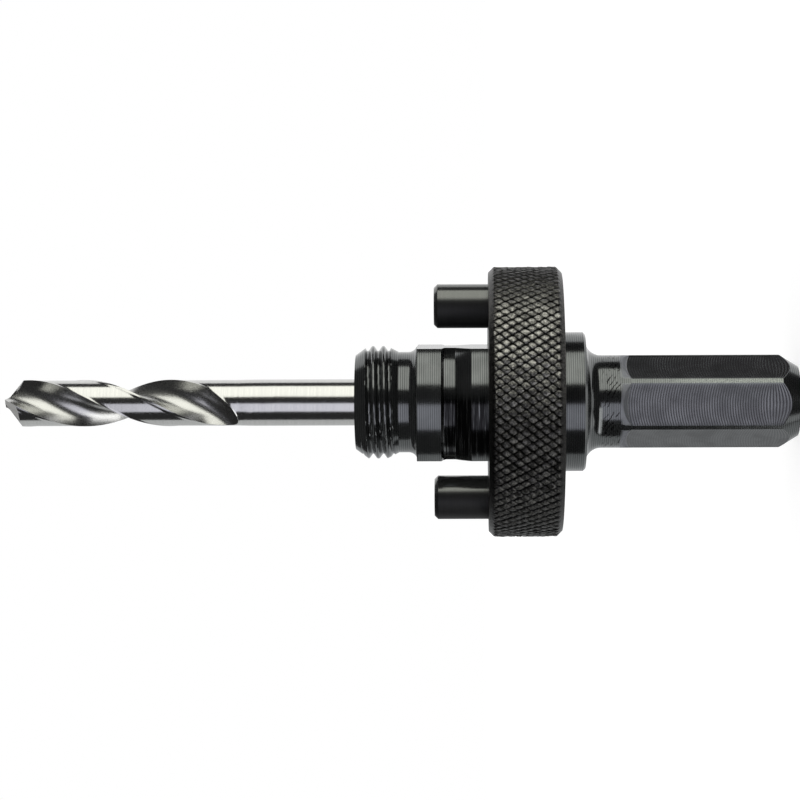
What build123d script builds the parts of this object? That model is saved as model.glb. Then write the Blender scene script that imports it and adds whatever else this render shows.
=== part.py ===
from build123d import *
import math
import os

# Hole saw arbor, in millimetres. It stands on the flat end of its hexagonal shank, +Z along its axis
# towards the tip of the pilot drill. The origin is the centre of the shank's end face. One flat of the
# hexagon faces -Y, and both drive pins and both flats of the guide lie on the X axis.

# Hexagonal shank, milled on a round bar, and the neck behind the hub
shank_len = 29.1            # end face to the hub
shank_d = 12.7
hex_af = 11.3               # across the flats
shank_end_d = 9.6           # flat end face
shank_end_bevel = 2.55      # length of the bevel round the end
flat_len = 24.3             # end face to where a flat runs out, along its middle
cutter_r = 9.5              # the milling cutter, which leaves a round end on each flat
cutter_bevel = 0.8
neck_fillet = 2.2
wall_share = 0.9            # most that a fillet may take of its wall

# Hub, guide with two flats, and its detent groove
hub_d = 19.05
hub_len = 3.2
hub_edge = 0.3
guide_len = 19.7            # hub to the saw seat
guide_af = 15.2             # across the two flats
detent_d = 16.4             # floor of the groove
detent_ramp = 2.2           # lengths along the axis, from the hub's side
detent_floor = 1.5
detent_wall = 0.4
detent_to_seat = 3.3

# Relief groove and threaded nose, 5/8 in and 18 threads per inch. Its grooves are rings without a lead.
relief_d = 13.75
relief_len = 2.5
relief_fillet = 1.2
thread_d = 15.6
thread_len = 4.1
thread_bevel = 1.8          # length of the slope up from the relief groove
thread_pitch = 25.4 / 18
thread_depth = 0.75
thread_root = 0.18          # width of a groove at its bottom
thread_angle = 60
thread_grooves = 3
groove_to_nose = 1.8        # middle of the first groove
nose_bevel_len = 1.85
nose_bevel_depth = 1.35

# Pilot drill and its bore
drill_d = 6.35
drill_out = 48.1            # nose to the tip
drill_in = 34.4             # nose to the drill's back end
drill_end_bevel = 0.4
point_angle = 118.0
flute_len = 32.1            # tip back to the end of the flutes
flute_lead = 38.0
flute_r = 3.2
flute_over = 1.0            # how far their cutter goes past the tip
web = 1.3                   # core left between the flutes
flute_turn = -21.0          # direction of the first flute at the tip, degrees from +X
bore_clear = 0.025          # radial
bore_mouth = 0.35

# Set screw of the pilot drill, in the flat that faces -X, and the flat that it bears on
screw_d = 5.0
screw_to_seat = 5.0
screw_sink = 0.4            # below the guide's flat
screw_tip_d = 3.5
socket_af = 2.5
socket_depth = 1.8
drill_flat_len = 8.0
drill_flat_depth = 0.3

# Drive collar and pins
collar_d = 37.0
collar_len = 10.0
collar_bevel = 0.8
bore_edge = 0.4
slide_clear = 0.05          # radial, between collar and guide
pin_d = 6.0
pin_press_d = 7.0           # the part of a pin that is pressed into the collar
pin_circle = 26.25
pin_out = 7.4               # past the collar's front face
pin_tip_bevel = 0.45
pin_back_sink = 0.4

# Detent in the collar, on the side that faces +Y
ball_d = 4.0
ball_clear = 0.05           # radial, in its hole
ball_gap = 0.03             # to the round side of the guide
spring_d = 3.2
spring_wire = 0.4
spring_turns = 3
spring_len = 2.2
plug_d = 5.0
plug_tip_d = 4.4
plug_len = 2.4
plug_socket_af = 2.0
plug_socket_depth = 1.2

hub_z = shank_len
guide_z = hub_z + hub_len
seat_z = guide_z + guide_len
relief_end_z = seat_z + relief_len
thread_z = relief_end_z + thread_bevel
nose_z = thread_z + thread_len
tip_z = nose_z + drill_out
drill_end_z = nose_z - drill_in
point_len = drill_d / 2 / math.tan(math.radians(point_angle / 2))
collar_front_z = guide_z + collar_len
travel = guide_len - collar_len
detent_z = seat_z - detent_to_seat
ball_z = detent_z - detent_wall - detent_floor / 2 - travel
screw_z = seat_z - screw_to_seat
drill_flat_x = drill_d / 2 - drill_flat_depth
coil_r = (spring_d - spring_wire) / 2


def turned(*points):
    """A face with corners at (radius, z), in the XZ plane, to be turned about Z."""
    return Plane.XZ * make_face(Polyline(*points, close=True))


def at_corner(face, radius, z):
    """The vertex of a turned face nearest to (radius, z)."""
    return face.vertices().sort_by_distance((radius, 0, z))[0]


def rod(diameter, start, end, direction="Z"):
    """A cylinder along X, Y or Z, from start to end on that axis."""
    turn = {"X": Rot(0, 90, 0), "Y": Rot(-90, 0, 0), "Z": Rot(0, 0, 0)}[direction]
    bottom = (Align.CENTER, Align.CENTER, Align.MIN)
    return turn * Pos(0, 0, start) * Cylinder(diameter / 2, end - start, align=bottom)


def hexagon(across_flats, depth):
    """A hexagonal prism on the XY plane, upwards."""
    return extrude(RegularPolygon(across_flats / 2, 6, major_radius=False), depth)


def headless_screw(diameter, length, tip_d, socket, socket_deep):
    """A headless screw on the Z axis: its tip at z = 0, its socket at z = length."""
    bevel = (diameter - tip_d) / 2
    blank = revolve(turned((0, 0), (tip_d / 2, 0), (diameter / 2, bevel), (diameter / 2, length),
                           (0, length)), Axis.Z)
    return blank - Pos(0, 0, length - socket_deep) * hexagon(socket, socket_deep)


def shank_cutter():
    """What the milling cutter takes off one side of the shank, above a flat that faces +Z."""
    deep = shank_d / 2
    centre = flat_len - cutter_r
    foot = cutter_r - cutter_bevel
    path = Box(2 * cutter_r, centre + shank_d, deep, align=(Align.CENTER, Align.MAX, Align.MIN))
    end = revolve(turned((0, 0), (foot, 0), (cutter_r, cutter_bevel), (cutter_r, deep), (0, deep)), Axis.Z)
    return Pos(0, centre, hex_af / 2) * (path + end)


def body_profile():
    """Half section of the turned body, before its flats are milled."""
    bar, end, hub = shank_d / 2, shank_end_d / 2, hub_d / 2
    groove, relief, nose = detent_d / 2, relief_d / 2, thread_d / 2
    ramp_z = detent_z - detent_wall - detent_floor
    face = turned(
        (0, 0), (end, 0), (bar, shank_end_bevel), (bar, hub_z), (hub - hub_edge, hub_z),
        (hub, hub_z + hub_edge), (hub, ramp_z - detent_ramp), (groove, ramp_z),
        (groove, detent_z - detent_wall), (hub, detent_z), (hub, seat_z), (relief, seat_z),
        (relief, relief_end_z), (nose, thread_z), (nose, nose_z - nose_bevel_len),
        (nose - nose_bevel_depth, nose_z), (0, nose_z),
    )
    neck_wall = hub - hub_edge - bar
    seat_wall = hub - relief
    face = fillet(at_corner(face, bar, hub_z), min(neck_fillet, wall_share * neck_wall))
    return fillet(at_corner(face, relief, seat_z), min(relief_fillet, wall_share * seat_wall))


def thread_groove(z):
    """Cutter for one ring groove of the thread, with sloping sides that go on past the crests."""
    crest, root = thread_d / 2, thread_d / 2 - thread_depth
    half_root = thread_root / 2
    half_top = half_root + 2 * thread_depth * math.tan(math.radians(thread_angle / 2))
    top = crest + thread_depth
    return revolve(turned((root, z - half_root), (top, z - half_top), (top, z + half_top),
                          (root, z + half_root)), Axis.Z)


def drill_bore():
    """Blind hole for the drill, with a bevelled mouth and a conical end below the drill's back end."""
    bore = drill_d / 2 + bore_clear
    point = bore / math.tan(math.radians(point_angle / 2))
    return revolve(turned((0, drill_end_z - point), (bore, drill_end_z), (bore, nose_z - bore_mouth),
                          (bore + bore_mouth, nose_z), (0, nose_z)), Axis.Z)


def arbor_body():
    body = revolve(body_profile(), Axis.Z)
    cutter = Rot(90, 0, 0) * shank_cutter()
    for side in range(6):
        body -= Rot(0, 0, 60 * side) * cutter
    flats_end_z = seat_z + relief_fillet
    offcut = Box(hub_d, 2 * hub_d, flats_end_z - guide_z, align=(Align.MIN, Align.CENTER, Align.MIN))
    for turn in (0, 180):
        body -= Rot(0, 0, turn) * Pos(guide_af / 2, 0, guide_z) * offcut
    for number in range(thread_grooves):
        body -= thread_groove(nose_z - groove_to_nose - number * thread_pitch)
    body -= drill_bore()
    return body - Pos(0, 0, screw_z) * rod(screw_d, -guide_af, 0, "X")


def flute_cutters():
    """One flute: a round section twisted along the drill, and the ball at its end where it runs out."""
    centre = web / 2 + flute_r
    reach = math.sqrt(flute_r ** 2 - (centre - drill_d / 2) ** 2)
    start_z = tip_z - flute_len + reach
    length = tip_z + flute_over - start_z
    section = Pos(centre, 0, 0) * Circle(flute_r)
    groove = Solid.extrude_linear_with_rotation(section.face(), (0, 0, 0), (0, 0, length),
                                                360 * length / flute_lead)
    ball = Pos(centre, 0, 0) * Sphere(flute_r)
    place = Pos(0, 0, start_z) * Rot(0, 0, flute_turn - 360 * (tip_z - start_z) / flute_lead)
    return place * groove, place * ball


def pilot_drill():
    radius = drill_d / 2
    drill = revolve(turned((0, drill_end_z), (radius - drill_end_bevel, drill_end_z),
                           (radius, drill_end_z + drill_end_bevel), (radius, tip_z - point_len),
                           (0, tip_z)), Axis.Z)
    for turn in (0, 180):
        for cutter in flute_cutters():
            drill -= Rot(0, 0, turn) * cutter
    flat = Box(drill_d, drill_d, drill_flat_len, align=(Align.MAX, Align.CENTER, Align.CENTER))
    return drill - Pos(-drill_flat_x, 0, screw_z) * flat


def pilot_set_screw():
    length = guide_af / 2 - screw_sink - drill_flat_x
    screw = headless_screw(screw_d, length, screw_tip_d, socket_af, socket_depth)
    return Pos(-drill_flat_x, 0, screw_z) * Rot(0, -90, 0) * screw


def drive_collar():
    outer = collar_d / 2
    inner = hub_d / 2 + slide_clear
    ring = revolve(turned((0, guide_z), (outer - collar_bevel, guide_z), (outer, guide_z + collar_bevel),
                          (outer, collar_front_z - collar_bevel), (outer - collar_bevel, collar_front_z),
                          (0, collar_front_z)), Axis.Z)
    hole = Circle(inner) & Rectangle(guide_af + 2 * slide_clear, 2 * hub_d)
    ring -= Pos(0, 0, guide_z) * extrude(hole, collar_len)
    for end in (0, -1):
        mouth = [edge for edge in ring.edges().group_by(Axis.Z)[end] if edge.length < math.pi * hub_d]
        ring = chamfer(mouth, bore_edge)
    for side in (1, -1):
        ring -= Pos(side * pin_circle / 2, 0, 0) * rod(pin_press_d, guide_z, collar_front_z)
    ring -= Pos(0, 0, ball_z) * rod(ball_d + 2 * ball_clear, 0, outer, "Y")
    return ring - Pos(0, 0, ball_z) * rod(plug_d, plug_seat_y(), outer, "Y")


def drive_pin(side):
    """A pin pressed through the collar from its back, at side 1 (+X) or -1 (-X)."""
    free, pressed = pin_d / 2, pin_press_d / 2
    back_z = guide_z + pin_back_sink
    end_z = collar_front_z + pin_out
    pin = revolve(turned((0, back_z), (pressed - pin_tip_bevel, back_z), (pressed, back_z + pin_tip_bevel),
                         (pressed, collar_front_z), (free, collar_front_z), (free, end_z - pin_tip_bevel),
                         (free - pin_tip_bevel, end_z), (0, end_z)), Axis.Z)
    return Pos(side * pin_circle / 2, 0, 0) * pin


def ball_y():
    return hub_d / 2 + ball_gap + ball_d / 2


def spring_y():
    """Middle of the spring's first turn, where its wire lies on the ball."""
    return ball_y() + math.sqrt((ball_d / 2 + spring_wire / 2) ** 2 - coil_r ** 2)


def plug_seat_y():
    """Tip of the plug screw, where the spring's last turn ends."""
    return spring_y() + spring_len - spring_wire / 2


def detent_ball():
    return Pos(0, ball_y(), ball_z) * Sphere(ball_d / 2)


def detent_spring():
    """Coil spring between the ball and the plug screw."""
    rise = spring_len - spring_wire
    route = Helix(rise / spring_turns, rise, coil_r)
    section = Plane(origin=route @ 0, z_dir=route % 0) * Circle(spring_wire / 2)
    coil = sweep(section, path=route, is_frenet=True)
    return Pos(0, spring_y(), ball_z) * Rot(-90, 0, 0) * coil


def detent_plug():
    plug = headless_screw(plug_d, plug_len, plug_tip_d, plug_socket_af, plug_socket_depth)
    return Pos(0, plug_seat_y(), ball_z) * Rot(-90, 0, 0) * plug


pieces = {
    "arbor_body": arbor_body(),
    "pilot_drill": pilot_drill(),
    "pilot_set_screw": pilot_set_screw(),
    "drive_collar": drive_collar(),
    "drive_pin_upper": drive_pin(1),
    "drive_pin_lower": drive_pin(-1),
    "detent_ball": detent_ball(),
    "detent_spring": detent_spring(),
    "detent_plug": detent_plug(),
}

os.makedirs("parts", exist_ok=True)
for name, piece in pieces.items():
    export_step(piece, f"parts/{name}.step")
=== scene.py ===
# %% [markdown]
# A hole saw arbor holds a hole saw on its threaded nose and a pilot drill in its middle. The solids of
# the CAD model are the fixed frame of this scene: they say where each part lies. Loading them comes
# first, so that every size below can be read from a solid instead of being written down twice.

import bmesh
import bpy
import numpy as np
from mathutils import Matrix, Vector


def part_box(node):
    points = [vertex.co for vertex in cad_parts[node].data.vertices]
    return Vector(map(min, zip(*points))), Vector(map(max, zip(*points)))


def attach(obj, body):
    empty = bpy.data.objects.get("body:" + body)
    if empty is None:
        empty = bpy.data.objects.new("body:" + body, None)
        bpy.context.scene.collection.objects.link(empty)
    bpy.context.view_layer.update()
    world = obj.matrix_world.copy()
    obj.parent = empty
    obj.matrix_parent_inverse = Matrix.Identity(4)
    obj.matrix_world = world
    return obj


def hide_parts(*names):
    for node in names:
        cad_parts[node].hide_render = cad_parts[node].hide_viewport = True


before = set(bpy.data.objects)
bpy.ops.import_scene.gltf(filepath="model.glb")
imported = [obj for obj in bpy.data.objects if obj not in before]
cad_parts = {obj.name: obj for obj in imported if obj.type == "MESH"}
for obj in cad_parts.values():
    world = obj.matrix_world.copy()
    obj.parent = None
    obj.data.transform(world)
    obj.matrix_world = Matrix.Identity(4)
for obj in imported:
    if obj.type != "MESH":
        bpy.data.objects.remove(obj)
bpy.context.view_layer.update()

MM = 0.001
print("solids:", ", ".join(sorted(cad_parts)))

# %% [markdown]
# Every machined surface here is turned, milled or ground, so it follows a grid: rows along the part and
# columns around it. A grid could be made by modifiers, but then a row can't be told to follow the edge
# that a cutter leaves. So the grids are worked out as arrays, and this class joins them into one skin.

# %% A skin made of grids
X_AXIS, Y_AXIS, Z_AXIS = np.eye(3)


def cells_of(grid):
    """The corners of each cell of a grid whose last column joins the first, in the order
    (row, column), (row, column + 1), (row + 1, column + 1), (row + 1, column)."""
    right = np.roll(grid, -1, axis=1)
    return np.stack([grid[:-1], right[:-1], right[1:], grid[1:]], axis=-1)


class Skin:
    """Points and four-sided faces, with named values at the points that a finish can read."""

    def __init__(self, *names):
        self.points = np.zeros((0, 3))
        self.faces = np.zeros((0, 4), int)
        self.values = {name: np.zeros(0) for name in names}

    def add(self, points, **values):
        """Adds rows x columns points and returns their numbers, in the same rows and columns."""
        first, shape = len(self.points), points.shape[:2]
        self.points = np.vstack([self.points, points.reshape(-1, 3)])
        for name, old in self.values.items():
            new = np.broadcast_to(values.get(name, 0.0), shape).ravel()
            self.values[name] = np.concatenate([old, new])
        return first + np.arange(shape[0] * shape[1]).reshape(shape)

    def cover(self, grid, keep=None):
        """One face for each cell of a grid, or only for the cells that are marked in keep."""
        cells = cells_of(grid)
        self.faces = np.vstack([self.faces, cells.reshape(-1, 4) if keep is None else cells[keep]])

    def rim(self, grid, rows, columns, centre, across, up):
        """The border points of a window in a grid, sorted by their angle about centre, and that angle:
        atan2 of the distances from centre along up and across."""
        window = grid[rows[0]:rows[1] + 1][:, np.arange(columns[0], columns[1] + 1) % grid.shape[1]]
        edge = np.concatenate([window[0], window[-1], window[1:-1, 0], window[1:-1, -1]])
        away = self.points[edge] - centre
        angle = np.arctan2(away @ up, away @ across)
        order = np.argsort(angle)
        return edge[order], angle[order]


def rows_about(heights, middle, reach):
    """The last row more than reach below a middle, and the first one that lies so far above it."""
    return np.array([np.sum(heights < middle - reach) - 1, np.argmax(heights > middle + reach)])


def outside(grid, rows, columns):
    """True for each cell of a grid that lies outside a window of rows and columns."""
    keep = np.ones((len(grid) - 1, grid.shape[1]), bool)
    inside = np.arange(columns[0], columns[1]) % grid.shape[1]
    keep[rows[0]:rows[1], inside] = False
    return keep


# %% [markdown]
# A finished piece is one closed mesh. Points that coincide, as at a pole, are merged, and the normals
# are turned outwards. The faces shade smoothly, except at edges sharper than an angle, as real machined
# edges do. Each piece rides on a body of the frame and stands for the solid that it dresses.

# %% From a skin to a piece
MERGE = 0.0005 * MM
SHARP_EDGE = np.radians(22)


def placed(name, data):
    """A new object of a mesh or a camera, in the scene."""
    thing = bpy.data.objects.new(name, data)
    bpy.context.scene.collection.objects.link(thing)
    return thing


def make_piece(name, skin, body, node, material, triangles=None):
    """Turns a skin into an object that rides on a body and stands for a solid of the frame."""
    mesh = bpy.data.meshes.new(name)
    faces = skin.faces.tolist() + ([] if triangles is None else triangles.tolist())
    mesh.from_pydata(skin.points.tolist(), [], faces)
    for value, numbers in skin.values.items():
        mesh.attributes.new(value, "FLOAT", "POINT").data.foreach_set("value", numbers.astype(np.float32))
    work = bmesh.new()
    work.from_mesh(mesh)
    bmesh.ops.remove_doubles(work, verts=work.verts, dist=MERGE)
    bmesh.ops.dissolve_degenerate(work, edges=work.edges, dist=MERGE / 10)
    bmesh.ops.recalc_face_normals(work, faces=work.faces)
    work.to_mesh(mesh)
    work.free()
    mesh.shade_smooth()
    mesh.set_sharp_from_angle(angle=SHARP_EDGE)
    mesh.materials.append(material)
    piece = placed(name, mesh)
    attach(piece, body)
    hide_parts(node)
    print(name, "has", sum(len(face.vertices) - 2 for face in mesh.polygons), "triangles")


# %% [markdown]
# A finish is a formula: it works out colour, roughness and fine relief from the place on the part. In
# Blender that formula is a net of nodes. Nodes could be placed one by one, but long nets are hard to
# read, so a wire is wrapped in a class that turns Python's signs into Math nodes.

# %% Shader maths
FULL_TURN = 2 * np.pi


class Wire:
    """An output of a shader node. Signs on wires add Math nodes, as in 1 - mask or waves * 0.5."""

    def __init__(self, tree, socket=None):
        self.tree, self.socket = tree, socket

    def node(self, kind, settings=None, inputs=None, output=0):
        """Adds a node of a kind: its settings, then the numbers, colours or wires of its sockets."""
        new = self.tree.nodes.new(kind)
        for name, value in (settings or {}).items():
            setattr(new, name, value)
        for name, value in (inputs or {}).items():
            if isinstance(value, Wire):
                self.tree.links.new(value.socket, new.inputs[name])
            else:
                new.inputs[name].default_value = value
        return Wire(self.tree, new.outputs[output]) if len(new.outputs) else new

    def maths(self, operation, *values):
        return self.node("ShaderNodeMath", {"operation": operation}, dict(enumerate(values)))

    def __add__(self, other):
        return self.maths("ADD", self, other)

    def __sub__(self, other):
        return self.maths("SUBTRACT", self, other)

    def __rsub__(self, other):
        return self.maths("SUBTRACT", other, self)

    def __mul__(self, other):
        return self.maths("MULTIPLY", self, other)

    __radd__, __rmul__ = __add__, __mul__

    def wave(self):
        """A wave between 0 and 1 that repeats each time the value grows by 1."""
        return self.maths("SINE", self * FULL_TURN) * 0.5 + 0.5

    def between(self, low, high, new_low=0.0, new_high=1.0):
        """Stretches low..high to new_low..new_high, with a smooth start and end, and stops there."""
        settings = {"interpolation_type": "SMOOTHSTEP"}
        return self.node("ShaderNodeMapRange", settings, {0: self, 1: low, 2: high, 3: new_low, 4: new_high})


def empty_net(owner):
    """Clears the nodes of a material or a world, and returns a wire from which new ones start."""
    owner.use_nodes = True
    owner.node_tree.nodes.clear()
    return Wire(owner.node_tree)


class Finish:
    """A new metal material. Its places are Object coordinates in millimetres, as x, z and a vector."""

    def __init__(self, name):
        self.material = bpy.data.materials.new(name)
        start = empty_net(self.material)
        self.node = start.node
        metres = self.node("ShaderNodeTexCoord", output="Object")
        self.place = self.scaled(metres, (1 / MM,) * 3)
        split = self.node("ShaderNodeSeparateXYZ", inputs={0: self.place})
        self.x, self.z = (Wire(start.tree, split.socket.node.outputs[axis]) for axis in "XZ")

    def scaled(self, vector, factors):
        return self.node("ShaderNodeVectorMath", {"operation": "MULTIPLY"}, {0: vector, 1: factors})

    def noise(self, scale, detail=2.0, rough=0.5, vector=None):
        """Cloudy values round 0.5, whose patches are about 1 / scale millimetres wide.
        scale is one number, or one for each axis."""
        factors = scale if isinstance(scale, tuple) else (scale,) * 3
        inputs = {"Vector": self.scaled(vector or self.place, factors)}
        inputs |= {"Scale": 1.0, "Detail": detail, "Roughness": rough}
        return self.node("ShaderNodeTexNoise", inputs=inputs, output="Fac")

    def value(self, name):
        """A named value of the mesh, which follows its surface."""
        return self.node("ShaderNodeAttribute", {"attribute_name": name}, output="Fac")

    def blend(self, share, first, second):
        """A colour between two colours."""
        first, second = (colour if isinstance(colour, Wire) else (*colour, 1) for colour in (first, second))
        inputs = {"Factor": share, 6: first, 7: second}
        return self.node("ShaderNodeMix", {"data_type": "RGBA"}, inputs, output=2)

    def done(self, colour, roughness, height, depth, metallic=1.0):
        """Ends the net in a metal: height 0..1 stands for depth metres of relief."""
        bump = self.node("ShaderNodeBump", inputs={"Height": height, "Distance": depth}, output="Normal")
        inputs = {"Base Color": colour, "Roughness": roughness, "Metallic": metallic, "Normal": bump}
        shader = self.node("ShaderNodeBsdfPrincipled", inputs=inputs)
        self.node("ShaderNodeOutputMaterial", inputs={"Surface": shader})
        print("finish:", self.material.name, "with", len(shader.tree.nodes), "nodes")
        return self.material


# %% [markdown]
# Black oxide is a thin dark skin on steel. It still mirrors the studio, only dimly, so it is a metal
# with a dark colour, and not quite all metal, so that it never looks like a hole. Turning leaves fine
# rings, which blur a highlight along the axis but keep its edges sharp around it. Milling leaves arcs,
# whose count comes with the mesh as the value "arc". The skin has worn thin on the shank's lands, more
# so towards the end, and the lands are painted light like steel only where they face +X: a painted
# highlight. It is scraped by chuck jaws on the neck. On the guide next to the collar, for x from about
# -7 to 0 mm, the colour is painted darker: painted shade where the collar blocks the light. The ramps
# are cut by the corner of the mill, which leaves them rough; they are less metallic, and their light
# bluish grey colour is a painted reflection. The arcs show most on the flats that face +X and least on
# the opposite ones, and the flats that face +X are painted darker: painted shade.

# %% Black oxide of the turned and milled body
RING = 0.29                         # millimetres from one turning mark to the next
# heights of the painted shade on the guide next to the collar
COLLAR_SHADE_FROM, COLLAR_SHADE_TO = 42.0, 48.4   # heights in millimetres
SCRAPED = (24.2, 24.6, 26.5, 27.2)  # heights at which the scrapes start, are deep, grow faint and end
LOW_FLATS, HIGH_FLATS = (-4.2, -3.0), (3.0, 4.2)  # x where they meet the middle ones
OXIDE_METAL = 0.9
OXIDE_RELIEF = 0.006 * MM
TURNED = (0.06, 0.064, 0.064), (0.205, 0.214, 0.214)  # dark and light
MILLED = (0.05, 0.051, 0.053), (0.24, 0.246, 0.252)
# the first colour is the painted shade on the guide next to the collar
COLLAR_SHADE_COLOUR, SCRAPE = (0.012, 0.012, 0.013), (0.02, 0.02, 0.02)
# the steel colour on the lands is partly a painted highlight; the ramps' colour is a painted reflection
BARE_STEEL_AND_HIGHLIGHT, RAMP_PAINTED_REFLECTION = (0.3, 0.32, 0.3), (0.3, 0.31, 0.335)


def body_finish():
    finish = Finish("black_oxide_turned")
    rings = finish.noise((0.12, 0.12, 1.4 / RING), 3.0, 0.65)
    feed = (finish.z * (1 / RING)).wave()
    grain = finish.noise(9, 4.0, 0.7)
    cloud = finish.noise(0.35, 3.0)
    uneven = finish.noise((1.1, 1.1, 0.4), 2.0)
    turned = rings * 0.45 + feed * 0.55
    milled = (finish.value("arc") + uneven * 0.3).wave()
    flat, worn, matt_lit_ramp = finish.value("flat"), finish.value("worn"), finish.value("matt_lit_ramp")
    shade = turned.between(0.1, 0.9) * 0.65 + cloud.between(0.3, 0.7) * 0.2 + grain * 0.15
    turned_colour = finish.blend(shade, *TURNED)
    # painted shade on the guide next to the collar, where the collar blocks the light
    collar_shade = finish.z.between(COLLAR_SHADE_FROM - 1, COLLAR_SHADE_FROM) * finish.z.between(COLLAR_SHADE_TO + 0.4, COLLAR_SHADE_TO)
    collar_shade = collar_shade * finish.x.between(2.5, 0.5) * finish.x.between(-7.4, -6.6)
    turned_colour = finish.blend(collar_shade * rings.between(0.68, 0.5), turned_colour, COLLAR_SHADE_COLOUR)
    scrape = (finish.z * 1.5 + finish.x * 0.9 + uneven * 2).wave().between(0.72, 0.95)
    scrape = scrape * finish.z.between(*SCRAPED[:2]) * finish.z.between(*SCRAPED[:1:-1])
    scrape = scrape * finish.noise(0.9, 2.0).between(0.45, 0.55)
    turned_colour = finish.blend(scrape * (1 - worn), turned_colour, SCRAPE)
    # the flats that face +X are painted darker, a painted shade, and their arcs show more
    contrast = finish.x.between(*LOW_FLATS, 0.3, 1) * finish.x.between(*HIGH_FLATS, 1, 2)
    lines = (milled - 0.5) * contrast + finish.x.between(*HIGH_FLATS, 0.5, 0.36)
    milled_shade = lines * (0.35 + cloud.between(0.35, 0.65) * 0.4) + grain * 0.25
    milled_colour = finish.blend(milled_shade, *MILLED)
    colour = finish.blend(flat, turned_colour, milled_colour)
    # the lands are worn, and painted light like steel only where they face +X: a painted highlight
    bare_and_lit_lands = worn * finish.x.between(-1, 1) * finish.z.between(19, 14, 0.35, 1)
    colour = finish.blend(bare_and_lit_lands * grain.between(0.3, 0.7), colour, BARE_STEEL_AND_HIGHLIGHT)
    # the ramps' light bluish grey is a painted reflection
    colour = finish.blend(matt_lit_ramp, colour, RAMP_PAINTED_REFLECTION)
    roughness = 0.1 + cloud * 0.06 + grain * 0.07 + flat * (1 - milled) * 0.08 + bare_and_lit_lands * 0.05 + matt_lit_ramp * 0.35
    marks = turned + flat * (milled - turned)
    height = marks * (0.2 + flat * 0.5) + grain * (0.15 + bare_and_lit_lands * 0.5 - flat * 0.1)
    return finish.done(colour, roughness, height, OXIDE_RELIEF, OXIDE_METAL - matt_lit_ramp * 0.4)


body_steel = body_finish()

# %% [markdown]
# The body is one bar of steel, turned between centres and then milled. Its outline is a list of points
# (radius, z), with round stretches as arcs. Seen along the axis, the milled faces cut straight lines
# off the round, so at each place the surface lies at the smaller of two radii: turned or milled.

# %% Sizes of the body
body_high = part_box("arbor_body")[1]
collar_low, collar_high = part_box("drive_collar")
drill_low, drill_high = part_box("pilot_drill")

bar_r = 6.35 * MM
hex_half = 5.65 * MM
end_r = 4.8 * MM
end_bevel = 2.55 * MM
flat_end_z = 24.3 * MM
first_arc_z = 5.0 * MM
cutter_r = 9.5 * MM
ramp = 0.8 * MM
neck_fillet = 2.2 * MM
hub_z = 29.1 * MM
edge_break = 0.3 * MM
seat_break = 0.1 * MM
guide_half = 7.6 * MM
groove_r = 8.2 * MM
relief_r = 6.875 * MM
relief_fillet = 1.2 * MM

hub_r = body_high.x
guide_z = collar_low.z
nose_z = body_high.z
seat_z = 52.0 * MM
detent_z = seat_z - 3.3 * MM
detent_wall_z = detent_z - 0.4 * MM
detent_ramp_z = detent_wall_z - 1.5 * MM
detent_start_z = detent_ramp_z - 2.2 * MM
relief_end_z = seat_z + 2.5 * MM
thread_z = relief_end_z + 1.8 * MM
print("hub radius, mm:", round(hub_r / MM, 3), "nose at z, mm:", round(nose_z / MM, 2))

# %% Lines and arcs of an outline
def line(*corners, step):
    """Points (radius, z) along straight runs, no further apart than step, which may differ by run."""
    corners = np.array(corners, float)
    runs = []
    for start, end, longest in zip(corners[:-1], corners[1:], np.broadcast_to(step, len(corners) - 1)):
        count = max(1, int(np.ceil(np.linalg.norm(end - start) / longest)))
        runs.append(start + (end - start) * np.arange(1, count + 1)[:, None] / count)
    return np.vstack([corners[:1], *runs])


def arc(centre, radius, start, end, count):
    """Points on a circle: centre + radius (cos a, sin a), with the angle a in degrees from start to end."""
    angle = np.radians(np.linspace(start, end, count + 1))[:, None]
    return np.array(centre) + radius * np.hstack([np.cos(angle), np.sin(angle)])


def spun(radius, angle, z):
    """Points at (radius cos a, radius sin a, z), for arrays that share a shape of rows and columns."""
    radius, angle, z = np.broadcast_arrays(radius, angle, z)
    return np.stack([radius * np.cos(angle), radius * np.sin(angle), z], axis=-1)


# %% [markdown]
# Columns run round the bar. A flat's edge would look like a saw if it fell between two columns, so the
# columns are moved a little until one of them lies on each edge. A column is counted from the middle
# of its flat, and its angle there is read off a short table: edge column to edge angle.

# %% Columns that meet the edges of the flats
AROUND = 144
column = np.arange(AROUND)


def columns_on_edges(flats, first, edge_column, edge_angle):
    """Angles of all columns, with one column on each edge of a number of evenly spaced flats.
    first is the column in the middle of a flat, and edge_angle may differ from row to row."""
    sector = AROUND // flats
    count = (column - first + sector // 2) % sector - sector // 2
    middle = (column - count) * (FULL_TURN / AROUND)
    half = sector // 2
    edge = np.reshape(edge_angle, (-1, 1))
    inner = edge * np.abs(count) / edge_column
    outer = edge + (np.pi / flats - edge) * (np.abs(count) - edge_column) / (half - edge_column)
    return middle + np.sign(count) * np.where(np.abs(count) <= edge_column, inner, outer)


round_angle = column * (FULL_TURN / AROUND)

# %% [markdown]
# The hexagonal shank is milled with an end mill of 9.5 mm radius that stops short of the neck. So each
# flat ends in a round ramp, and the marks on it are arcs of the same radius. Rows that follow those
# arcs give clean edges with few faces, where straight rows would need a very fine grid.

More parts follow.
